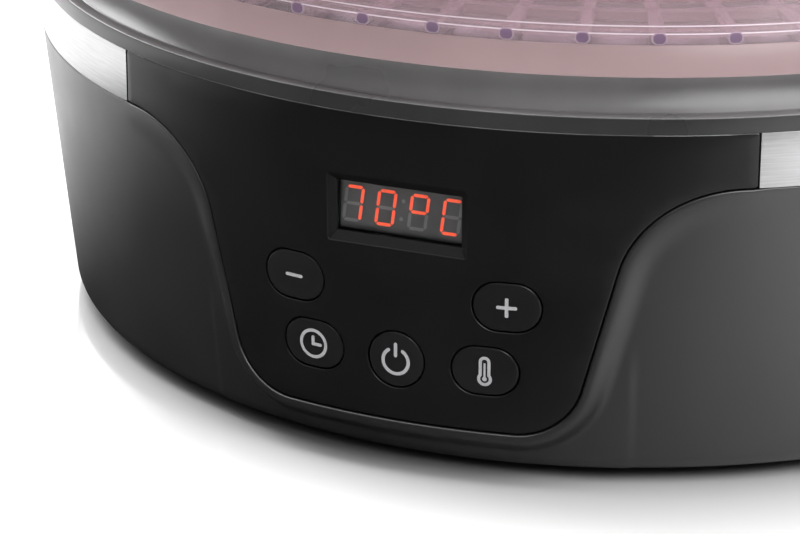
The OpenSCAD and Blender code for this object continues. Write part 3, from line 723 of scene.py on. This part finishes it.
def build_housing():
    """The tapered shell, raised round the panel's tongue and falling softly to the wall."""
    gap = 0.3 * MM
    edge = panel_outline(0.0, half=True)
    cut = next(i for i, p in enumerate(edge) if p[3] < -0.999 and p[0] > 0.9 * WING_X)
    tongue = list(reversed(panel_outline(gap, half=True)[cut:]))
    samples = edge[cut:] + [(-x, z, -nx, nz) for x, z, nx, nz in edge[cut:]]
    columns = []
    length = 0.0
    last = None
    for x, z, nx, nz in tongue:
        here = Vector((BASE_R * math.asin(x / BASE_R), z))
        length += (here - last).length if last else 0.0
        last = here
        slant = Vector((nx / math.sqrt(1 - (x / BASE_R) ** 2), nz)).normalized()
        columns.append([here, slant, length])
    total = length
    end_u = last.x
    for column in columns:
        column[2] = column[2] / total * (end_u + 24 * MM)
    half_round = math.pi * BASE_R
    rest = 110
    for i in range(1, rest + 1):
        u = end_u + (half_round - end_u) * i / rest
        ease = 24 * MM * (1 - smooth((u - end_u) / (150 * MM)))
        columns.append([Vector((u, BAND_LOW)), Vector((0, -1)), u + ease])
    columns[-1][2] = half_round
    low_z = FOOT_H + 5 * MM

    def skin(u, z):
        """Radius of the outer skin."""
        x = BASE_R * math.sin(u / BASE_R) if abs(u) < 100 * MM else 1.0
        r = wall_r(z)
        if abs(u) < 100 * MM:
            away = tongue_distance(x, z, samples)
            lift = panel_r(z) - r
            r += lift * (1 - smooth((away - 1.6 * MM) / (6.0 * MM)))
            inner = 1 - smooth((abs(u) - 60.5 * MM) / (1.6 * MM))
            r += 0.45 * MM * inner * (1 - smooth((z - 28 * MM) / (14 * MM)))
        return r

    def place(u, z, r):
        """The point at a distance u round the wall."""
        b = u / BASE_R
        return Vector((r * math.sin(b), -r * math.cos(b), z))

    side = []
    for top, slant, low_u in columns:
        on_tongue = top.x <= end_u
        low = Vector((low_u, low_z))
        reach = (low - top).length
        bend = top + slant * min(0.42 * reach, 22 * MM)
        row = []
        r0 = skin(top.x, top.y)
        deep = 3.2 * MM if on_tongue else 2.6 * MM
        soft = 0.5 * MM
        row.append(place(top.x, top.y, r0 - deep))
        for k in range(3, -1, -1):
            t = math.pi / 2 * k / 3
            p = top + slant * soft * (1 - math.sin(t))
            row.append(place(p.x, p.y, r0 - soft * (1 - math.cos(t))))
        start = top + slant * soft
        steps = 30
        for k in range(1, steps + 1):
            t = (k / steps) ** 1.25
            p = start * (1 - t) ** 2 + bend * 2 * t * (1 - t) + low * t * t
            row.append(place(p.x, p.y, skin(p.x, p.y)))
        r_low = skin(low_u, low_z) - 5 * MM
        for k in range(1, 8):
            t = math.pi / 2 * k / 7
            row.append(place(low_u, low_z - 5 * MM * math.sin(t), r_low + 5 * MM * math.cos(t)))
        inner_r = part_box("bottom_cover")[1].x + 0.4 * MM
        row.append(place(low_u, FOOT_H, inner_r))
        row.append(place(low_u, FOOT_H + 4 * MM, inner_r))
        row.append(place(low_u, low_z + 1 * MM, wall_r(low_z) - 2.6 * MM))
        for k in range(5, -1, -1):
            p = top.lerp(Vector((low_u, low_z + 1 * MM)), k / 6)
            row.append(place(p.x, p.y, min(wall_r(p.y) - 2.6 * MM, r0 - deep)))
        side.append(row)
    rows = side + [[Vector((-p.x, p.y, p.z)) for p in row] for row in reversed(side[1:-1])]
    count = len(rows[0])
    verts = [p for row in rows for p in row]
    faces = []
    for i in range(len(rows)):
        a, b = i * count, ((i + 1) % len(rows)) * count
        for k in range(count):
            m = (k + 1) % count
            faces.append((a + k, a + m, b + m, b + k))
    shell = new_object("housing_skin", verts, faces, 40)
    give(shell, "satin_black")

    cut_inlet(shell)
    low, top = BAND_LOW - 4 * MM, BAND_TOP - 0.2 * MM
    behind = give(lathe("behind", [(BEHIND_OUT, low), (BEHIND_OUT, top), (BEHIND_IN, top),
                                   (BEHIND_IN, low)], 192), "satin_black")
    seat = give(lathe("seat", [(SEAT_IN_R, BAND_LOW - 1 * MM), (SEAT_OUT, BAND_LOW - 1 * MM),
                               (SEAT_OUT, BAND_TOP), (SEAT_IN_R, BAND_TOP)],
                      160, SEAT_START, 360 - 2 * SEAT_START), "satin_black")
    return join("housing_shell", [shell, behind, seat, build_collar()] + build_bosses(), 40)


housing = build_housing()
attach(housing, "base")
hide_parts("base_housing")


# ---------- the band, the casing and the grille ----------

def build_band():
    """The steel band, open at the front where the panel stands."""
    outline = fillet([(BASE_R - 1 * MM, BAND_LOW + 0.05 * MM), (BASE_R, BAND_LOW + 0.05 * MM),
                      (BASE_R, BAND_TOP - 0.05 * MM), (BASE_R - 1 * MM, BAND_TOP - 0.05 * MM)],
                     [0, 0.18 * MM, 0.18 * MM, 0], 3)
    return give(lathe("steel_band", outline, 300, BAND_START, 360 - 2 * BAND_START), "band_steel")


band = build_band()
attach(band, "base")
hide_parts("trim_band")


def build_casing():
    """The ring above the band: a dark rim, a ledge, and a cove up to the neck."""
    hole_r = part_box("outlet_grille")[1].x - 4.5 * MM
    wall = 2.6 * MM
    rim = RIM_R - 0.4 * MM
    cove_z = RIM_TOP + 9.9 * MM
    step = [(LEDGE_IN + 0.35 * MM, RIM_TOP), (LEDGE_IN + 0.1 * MM, RIM_TOP - 0.12 * MM),
            (LEDGE_IN - 0.15 * MM, RIM_TOP + 0.05 * MM)]
    cove = arc(NECK_R + COVE_R, cove_z, COVE_R, 224, 180, 14)
    outer = [(hole_r, DECK_Z + 2.4 * MM), (hole_r, DECK_Z), (NECK_R - 5 * MM, DECK_Z),
             (RIM_R - 8.1 * MM, BAND_TOP), (RIM_R - 8.1 * MM, BAND_TOP - 4 * MM),
             (RIM_R - 5.5 * MM, BAND_TOP - 4 * MM), (RIM_R - 5.5 * MM, BAND_TOP - 0.02 * MM)]
    lip = fillet(
        [(RIM_R - 5.5 * MM, BAND_TOP - 0.02 * MM), (rim, BAND_TOP - 0.02 * MM),
         (rim, RIM_TOP), (LEDGE_IN, RIM_TOP)], [0, 0.1 * MM, 0.45 * MM, 0], 4)[1:-1]
    inner = fillet(
        [cove[-1], (NECK_R, NECK_TOP), (NECK_R - wall, NECK_TOP),
         (NECK_R - wall, DECK_Z + 2.4 * MM)],
        [0, 0.6 * MM, 0.6 * MM, 0], 4)[1:]
    ring = give(lathe("casing_ring", outer + lip + step + cove + inner, 320, angle=28),
                "casing_grey")
    ring.data.materials.append(MAT["casing_rim"])
    for face in ring.data.polygons:
        out = Vector(face.center[:2]).length
        if face.center.z < RIM_TOP - 0.2 * MM and out > rim - 1 * MM:
            face.material_index = 1
    return ring


casing = build_casing()
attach(casing, "base")
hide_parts("top_casing")


# ---------- the control panel ----------

BUTTONS = ["button_minus", "button_plus", "button_timer", "button_power", "button_temperature"]


def button_shape(node, grow=0.0):
    """A button's centre and its front outline."""
    low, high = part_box(node)
    cx, cz = (low.x + high.x) / 2, (low.z + high.z) / 2
    w, h = (high.x - low.x) / 1.15 + grow, (high.z - low.z) / 1.15 + grow
    return (cx, cz), stadium(cx, cz, w, h)


def build_panel():
    """The panel with its button holes, the funnel round the window, and four screw posts."""
    holes = [with_normals(button_shape(node, 0.7 * MM)[1], -1) for node in BUTTONS]
    half_w, half_h = 18.7 * MM, 8.9 * MM
    opening = box_loop(-half_w, WINDOW_Z - half_h, half_w, WINDOW_Z + half_h, 0.7 * MM)
    opening = with_normals(opening, -1)
    outline = list(reversed(panel_outline(-0.05 * MM)))
    front = plate("front", [outline] + holes + [opening], on_panel, PANEL_T,
                  [0.5 * MM] + [0.35 * MM] * 6, 3.2 * MM)
    give(front, "panel_black")
    # Painted highlight: faces at the panel's top edge that face upwards get the lighter grey,
    # drawing a bright line under the rim.
    front.data.materials.append(MAT["panel_edge_highlight"])
    for face in front.data.polygons:
        if face.center.z > BAND_TOP - 0.4 * MM and face.normal.z > 0.3:
            face.material_index = 1

    glass_w, glass_h = 16.7 * MM, 6.65 * MM
    inner = box_loop(-glass_w, WINDOW_Z - glass_h, glass_w, WINDOW_Z + glass_h, 0.25 * MM)
    lens_y = LENS_LO.y
    n = len(inner)
    verts = [on_panel(x, z, 0.35 * MM) for x, z, _, _ in opening]
    verts += [Vector((x, lens_y, z)) for x, z in inner]
    verts += [Vector((x, lens_y + 1.2 * MM, z)) for x, z in inner]
    verts += [on_panel(x + math.copysign(2 * MM, x), z + math.copysign(2 * MM, z - WINDOW_Z),
                       PANEL_T) for x, z, _, _ in opening]
    faces = []
    for k in range(n):
        m = (k + 1) % n
        faces += [(k, m, n + m, n + k), (n + k, n + m, 2 * n + m, 2 * n + k),
                  (2 * n + k, 2 * n + m, 3 * n + m, 3 * n + k), (3 * n + k, 3 * n + m, m, k)]
    bezel = give(new_object("bezel", verts, faces, 20), "panel_black")

    posts = []
    board_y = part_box("control_board")[0].y
    screw_lo, screw_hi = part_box("board_screws")
    for x in (-40 * MM, 40 * MM):
        for z in (screw_lo.z + 2.6 * MM, screw_hi.z - 2.6 * MM):
            ring = circle(x, z, 3 * MM, 32)
            bore = circle(x, z, 1.2 * MM, 32)
            front_y = -math.sqrt((BASE_R - 2 * MM) ** 2 - x * x)
            post = plate("post", [with_normals(ring), with_normals(bore, -1)], on_plane(front_y),
                         board_y - front_y, 0.0)
            posts.append(give(post, "panel_black"))
    return join("panel_shell", [front, bezel] + posts, 30)


panel = build_panel()
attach(panel, "base")
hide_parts("control_panel")


def button_icon(node, cx, cz):
    """Outlines of the symbol printed on a button, each with its holes."""
    w = 0.9 * MM

    def at(*points):
        """Points in millimetres from the button's centre."""
        return [(cx + x * MM, cz + z * MM) for x, z in points]

    if node == "button_minus":
        return [[stroke(at((-2.1, 0), (2.1, 0)), w)]]
    if node == "button_plus":
        h, s = w / 2, 2.6 * MM
        corners = [(s, -h), (s, h), (h, h), (h, s), (-h, s), (-h, h), (-s, h), (-s, -h), (-h, -h),
                   (-h, -s), (h, -s), (h, -h)]
        turns = [0.3, 0.3, 0, 0.3, 0.3, 0, 0.3, 0.3, 0, 0.3, 0.3, 0]
        shape = fillet([(cx + x, cz + z) for x, z in corners], [t * MM for t in turns], 4)
        return [[shape]]
    if node == "button_timer":
        ring = [circle(cx, cz, r, 56) for r in (4.05 * MM, 3.2 * MM)]
        hands = at((-0.5, 2.2), (-0.5, -0.5), (2.5, -0.5), (2.5, 0.35), (0.35, 0.35), (0.35, 2.2))
        shape = fillet(hands, [0.38 * MM, 0.2 * MM, 0.38 * MM, 0.38 * MM, 0, 0.38 * MM], 4)
        return [ring, [shape]]
    if node == "button_power":
        bow = arc(cx, cz - 0.4 * MM, 3.45 * MM, 90 + 34, 450 - 34, 44)
        return [[stroke(bow, w)], [stroke(at((0, 1.1), (0, 4.2)), w)]]
    r_bulb, r_tube = 1.9 * MM, 1.5 * MM

    def outline(shrink):
        """The edge of the thermometer, or the edge of its hollow."""
        rb, rt = r_bulb - shrink, r_tube - shrink
        turn = math.degrees(math.asin(rt / rb))
        return (arc(cx, cz - 2.1 * MM, rb, 90 + turn, 450 - turn, 30)
                + arc(cx, cz + 2.5 * MM, rt, 0, 180, 14))

    drop = arc(cx, cz - 2.1 * MM, 0.6 * MM, 90 + 26, 450 - 26, 16)
    stem = drop + [(cx + 0.26 * MM, cz + 2.2 * MM), (cx - 0.26 * MM, cz + 2.2 * MM)]
    return [[outline(0.0), outline(0.8 * MM)], [stem]]


for node in BUTTONS:
    (cx, cz), shape = button_shape(node)

    def crown(x, z, cx=cx, cz=cz):
        """A slight dome on the cap."""
        return 0.12 * MM * (1 - min(1.0, math.hypot((x - cx) / 8.6, (z - cz) / 6.4) / MM))

    cap = plate(node + "_cap", [with_normals(shape)], on_panel, 3.4 * MM, 0.55 * MM, 2.0 * MM,
                crown)
    give(cap, "button_black")
    low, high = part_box(node)
    pin_y = -math.sqrt((BASE_R - 3 * MM) ** 2 - cx * cx)
    pin = plate("pin", [with_normals(circle(cx, cz, 1.45 * MM, 24))], on_plane(pin_y),
                high.y - pin_y, 0.0)
    give(pin, "button_black")
    shapes = []
    for loops in button_icon(node, cx, cz):
        sided = []
        for i, loop in enumerate(loops):
            area = sum(p[0] * q[1] - q[0] * p[1] for p, q in zip(loop, loop[1:] + loop[:1]))
            loop = loop if area > 0 else loop[::-1]
            sided.append(with_normals(loop, -1 if i else 1))
        ink = plate("ink", sided, lambda x, z, d: on_panel(x, z, d - crown(x, z) - 0.03 * MM),
                    0.08 * MM, 0.0, 0.0)
        shapes.append(give(ink, "ink_grey"))
    cap = join(node + "_cap", [cap, pin] + shapes, 30)
    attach(cap, node)
    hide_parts(node)


# ---------- the display ----------

def segment_shapes(cx, cz):
    """The seven bars of one slanted digit, keyed a to g, and each bar's outline."""
    w, h, t, gap = 2.2, 4.85, 0.82, 0.16
    half = t / 2

    def flat(x0, x1, z):
        """A bar that lies across."""
        return [(x0 + gap, z), (x0 + half + gap, z - half), (x1 - half - gap, z - half),
                (x1 - gap, z), (x1 - half - gap, z + half), (x0 + half + gap, z + half)]

    def upright(x, z0, z1):
        """A bar that stands up."""
        return [(x, z0 + gap), (x + half, z0 + half + gap), (x + half, z1 - half - gap),
                (x, z1 - gap), (x - half, z1 - half - gap), (x - half, z0 + half + gap)]

    top, low = h - half, -h + half
    bars = {"a": flat(-w, w, top), "d": flat(-w, w, low), "g": flat(-w, w, 0),
            "b": upright(w, 0, top), "c": upright(w, low, 0),
            "e": upright(-w, low, 0), "f": upright(-w, 0, top)}
    slant = math.tan(math.radians(7.5))
    return {key: [(cx + (x + z * slant) * MM, cz + z * MM) for x, z in shape]
            for key, shape in bars.items()}


def build_display():
    """The display module with its unlit bars and pins, and the lit bars."""
    face_y = LENS_LO.y + 2.0 * MM
    low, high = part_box("display_module")
    body = plate("body", [with_normals(box_loop(low.x, low.z, high.x, high.z, 0.3 * MM))],
                 on_plane(face_y), high.y - face_y - 2.4 * MM, 0.15 * MM)
    give(body, "display_body")
    lit, dark = [], []
    pitch = 8.8 * MM
    shown = ["abc", "abcdef", "abfg", "adef"]
    for i, letters in enumerate(shown):
        cx = (i - 1.5) * pitch
        for key, shape in segment_shapes(cx, WINDOW_Z + 0.1 * MM).items():
            on = key in letters
            bar = plate("bar", [with_normals(shape)], on_plane(face_y - 0.05 * MM),
                        0.1 * MM, 0.0)
            give(bar, "digit_red" if on else "display_off")
            (lit if on else dark).append(bar)
    for z in (-2.4, 2.4):
        dot = circle(z * 0.13 * MM, WINDOW_Z + (z + 0.1) * MM, 0.5 * MM, 24)
        dark.append(give(plate("dot", [with_normals(dot)], on_plane(face_y - 0.05 * MM),
                               0.1 * MM, 0.0), "display_off"))
    pins = []
    for x in range(-13, 14, 5):
        for z in (-5, 5):
            ring = circle(x * MM, WINDOW_Z + z * MM, 0.3 * MM, 12)
            pins.append(give(plate("pin", [with_normals(ring)], on_plane(high.y - 2.6 * MM),
                                   2.6 * MM, 0.0), "screw_steel"))
    return join("display_face", [body] + dark + pins, 30), join("display_lit", lit, 30)


display_face, display_lit = build_display()
for piece, node, slot in ((display_face, "display_module", "display_body"),
                          (display_lit, "lit_digits", "digit_red")):
    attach(piece, "base")
    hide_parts(node)


# ---------- trays and lid ----------

def rib_prism(length_in, length_out, width, z0, z1, bearing):
    """Points and faces of a radial rib with chamfered edges; its last face is the end's middle."""
    c = 0.85 * MM
    h = width / 2
    section = [(-h, z0 + c), (-h + c, z0), (h - c, z0), (h, z0 + c),
               (h, z1 - c), (h - c, z1), (-h + c, z1), (-h, z1 - c)]
    sin, cos = math.sin(bearing), math.cos(bearing)
    verts = []
    for r in (length_in, length_out):
        verts += [(r * sin + s * cos, -r * cos + s * sin, z) for s, z in section]
    mid = (z0 + z1) / 2
    r = length_out
    verts += [(r * sin + s * cos * 0.8, -r * cos + s * sin * 0.8, mid + (z - mid) * 0.8)
              for s, z in section]
    faces = [(k, (k + 1) % 8, 8 + (k + 1) % 8, 8 + k) for k in range(8)]
    faces += [(8 + k, 8 + (k + 1) % 8, 16 + (k + 1) % 8, 16 + k) for k in range(8)]
    faces += [tuple(range(7, -1, -1)), tuple(range(16, 24))]
    return verts, faces


def build_tray(name):
    """One tray: frosted skirt, clear wall, and a floor of radial and ring ribs."""
    skirt = fillet(
        [(SKIRT_R, 0), (WALL_OUT, SKIRT_H), (WALL_OUT - 1.9 * MM, SKIRT_H),
         (WALL_OUT - 1.9 * MM, 6 * MM), (SKIRT_R - 1.8 * MM, 0)],
        [0.35 * MM, 0.3 * MM, 0, 0, 0.3 * MM], 3)
    band_piece = give(lathe("skirt", skirt, 256), "tray_rose")
    wall = fillet(
        [(WALL_OUT - 0.15 * MM, SKIRT_H + 0.03 * MM), (WALL_OUT - 0.15 * MM, 11 * MM),
         (WALL_TOP_OUT, WALL_TOP), (WALL_TOP_OUT - 1.8 * MM, WALL_TOP),
         (WALL_OUT - 1.95 * MM, 11.2 * MM), (WALL_OUT - 1.95 * MM, 8.6 * MM),
         (SEAT_IN, 8.6 * MM), (SEAT_IN, SKIRT_H + 0.03 * MM)],
        [0, 0.4 * MM, 0.5 * MM, 0.5 * MM, 0.4 * MM, 0.2 * MM, 0.3 * MM, 0.2 * MM], 3)
    wall_piece = give(lathe("wall", wall, 256), "tray_clear")
    verts, faces = [], []
    for i in range(RIB_COUNT):
        start = 22 * MM if i % 4 == 0 else 46 * MM if i % 2 == 0 else 76 * MM
        v, f = rib_prism(start, WALL_OUT + 0.1 * MM, RIB_W, RIB_LOW, RIB_TOP,
                         math.radians((i + 0.5) * 360 / RIB_COUNT))
        faces += [tuple(len(verts) + k for k in face) for face in f]
        verts += v
    ribs = give(new_object("ribs", verts, faces), "tray_rib")
    ribs.data.materials.append(MAT["tray_rib_end"])
    for face in ribs.data.polygons:
        if len(face.vertices) == 8 and Vector(face.center[:2]).length > WALL_OUT - 1 * MM:
            face.material_index = 1
    # Two thin beads on the wall's outer face. Their milky white is painted highlight that draws
    # the bright lines the wall's edges catch.
    highlight_beads = []
    for r, z in ((WALL_OUT - 0.1 * MM, 10.1 * MM), (WALL_OUT - 0.35 * MM, 12.0 * MM)):
        bead = circle(r, z, 0.17 * MM, 8)
        highlight_beads.append(give(lathe("bead", bead, 256), "tray_highlight_line"))
    rings = []
    for k in range(9):
        r = RING_R + k * RING_STEP
        h, c = RING_HALF, 0.6 * MM
        ring = [(r - h, RIB_LOW + c), (r - h + c, RIB_LOW), (r + h - c, RIB_LOW),
                (r + h, RIB_LOW + c), (r + h, RIB_TOP - c), (r + h - c, RIB_TOP),
                (r - h + c, RIB_TOP), (r - h, RIB_TOP - c)]
        rings.append(give(lathe("ring", ring, 180), "tray_rib"))
    return join(name, [band_piece, wall_piece, ribs] + highlight_beads + rings, 30)


first_tray = build_tray("tray_1_body")
for node in TRAYS:
    if node == "tray_1":
        piece = first_tray
    else:
        piece = bpy.data.objects.new(node + "_body", first_tray.data.copy())
        bpy.context.scene.collection.objects.link(piece)
    piece.location.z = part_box(node)[0].z
    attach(piece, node)
    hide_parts(node)


# ---------- materials of the carried-over nodes ----------

replaced = {"base_housing", "trim_band", "top_casing", "control_panel", "display_module",
            "lit_digits", *BUTTONS, *TRAYS}
for name, obj in NODES.items():
    if name in replaced:
        continue
    for slot in obj.material_slots:
        slot.material = MAT[slot.material.name.split(".")[0]]


# ---------- stage, camera and light ----------

def build_stage():
    """A seamless pale floor. It mirrors the object close to it, to the camera only, is dimmer
    where gloss on the object sees it, and is see-through from below."""
    n = Nodes("stage_floor")
    at = n.coordinates()
    path = n.add("ShaderNodeLightPath")
    away = n.add("ShaderNodeVectorMath", _operation="LENGTH")
    n.link(at, away.inputs[0])
    near = n.range(away.outputs["Value"], 0.70, 0.0, 0.150, 0.245, "LINEAR")
    x, y, _ = n.split(at)
    apart = n.math("ABSOLUTE", n.math("ADD", x, 0.12))
    reach = n.range(n.math("ADD", apart, y), 0.0, 1.0, -0.08, 0.13, "LINEAR")
    shade = n.range(n.math("POWER", reach, 1.5), 0.03, 0.7, 0.0, 1.0, "LINEAR")
    pale = n.add("ShaderNodeBsdfDiffuse",
                 Color=n.blend(path.outputs["Is Glossy Ray"], (0.9, 0.9, 0.9), shade))
    gloss = n.add("ShaderNodeBsdfGlossy", Color=(0.95, 0.95, 0.95, 1), Roughness=0.06)
    mirror = n.math("MULTIPLY", near, path.outputs["Is Camera Ray"])
    top = n.mix(mirror, pale.outputs[0], gloss.outputs[0])
    below = n.add("ShaderNodeNewGeometry").outputs["Backfacing"]
    clear = n.add("ShaderNodeBsdfTransparent")
    material = n.finish(n.mix(below, top, clear.outputs[0]))
    size = 12.0
    floor = new_object("stage_floor", [(-size, -size, 0), (size, -size, 0), (size, size, 0),
                                       (-size, size, 0)], [(0, 1, 2, 3)])
    floor.data.materials.append(material)


def softbox(name, at, aim, width, height, power):
    """A soft light that the camera doesn't see."""
    data = bpy.data.lights.new(name, "AREA")
    data.shape = "RECTANGLE"
    data.size = width
    data.size_y = height
    data.energy = power
    obj = bpy.data.objects.new(name, data)
    obj.location = at
    obj.rotation_euler = (Vector(aim) - Vector(at)).to_track_quat("-Z", "Y").to_euler()
    obj.visible_camera = False
    bpy.context.scene.collection.objects.link(obj)


def build_light():
    """Soft boxes at the left, the right and overhead, in a room that is dim in front. The room
    is plain white to the camera."""
    softbox("box_left", (-1.1, 0.3, 1.05), (0, 0, 0.08), 0.9, 1.3, 34)
    softbox("box_right", (1.0, -0.5, 1.05), (0, 0, 0.08), 1.4, 0.8, 22)
    softbox("box_top", (0.0, 0.15, 1.7), (0, 0, 0.1), 2.0, 1.5, 50)
    n = Nodes("studio", world=True)
    _, y, z = n.split(n.coordinates("Generated"))
    behind = n.range(y, 0.05, 0.9, -0.35, 0.7, "LINEAR")
    above = n.range(z, 0.0, 1.2, 0.35, 0.9, "LINEAR")
    room = n.add("ShaderNodeBackground", Color=n.math("MAXIMUM", behind, above), Strength=1.0)
    white = n.add("ShaderNodeBackground", Color=(1, 1, 1, 1))
    seen = n.add("ShaderNodeLightPath").outputs["Is Camera Ray"]
    bpy.context.scene.world = n.finish(n.mix(seen, room.outputs[0], white.outputs[0]))


def build_camera():
    """The photograph's viewpoint: 0.9 m from the axis, looking down on the panel."""
    bearing, pitch = math.radians(18.70), math.radians(21.25)
    yaw, roll = math.radians(-3.956), math.radians(0.115)
    ahead = Vector((math.sin(yaw) * math.cos(pitch), math.cos(yaw) * math.cos(pitch),
                    -math.sin(pitch)))
    ahead = Matrix.Rotation(bearing, 3, "Z") @ ahead
    right = ahead.cross(Vector((0, 0, 1))).normalized()
    up = right.cross(ahead)
    x_axis = math.cos(roll) * right + math.sin(roll) * up
    y_axis = math.cos(roll) * up - math.sin(roll) * right
    data = bpy.data.cameras.new("camera")
    data.sensor_width = 36
    data.lens = 145.0
    camera = bpy.data.objects.new("camera", data)
    turn = Matrix((x_axis, y_axis, -ahead)).transposed().to_4x4()
    camera.matrix_world = Matrix.Translation(
        (0.9 * math.sin(bearing), -0.9 * math.cos(bearing), 0.3469)) @ turn
    bpy.context.scene.collection.objects.link(camera)
    bpy.context.scene.camera = camera


build_stage()
build_light()
build_camera()
bpy.context.scene.view_settings.view_transform = "Standard"
bpy.context.scene.cycles.transparent_max_bounces = 48
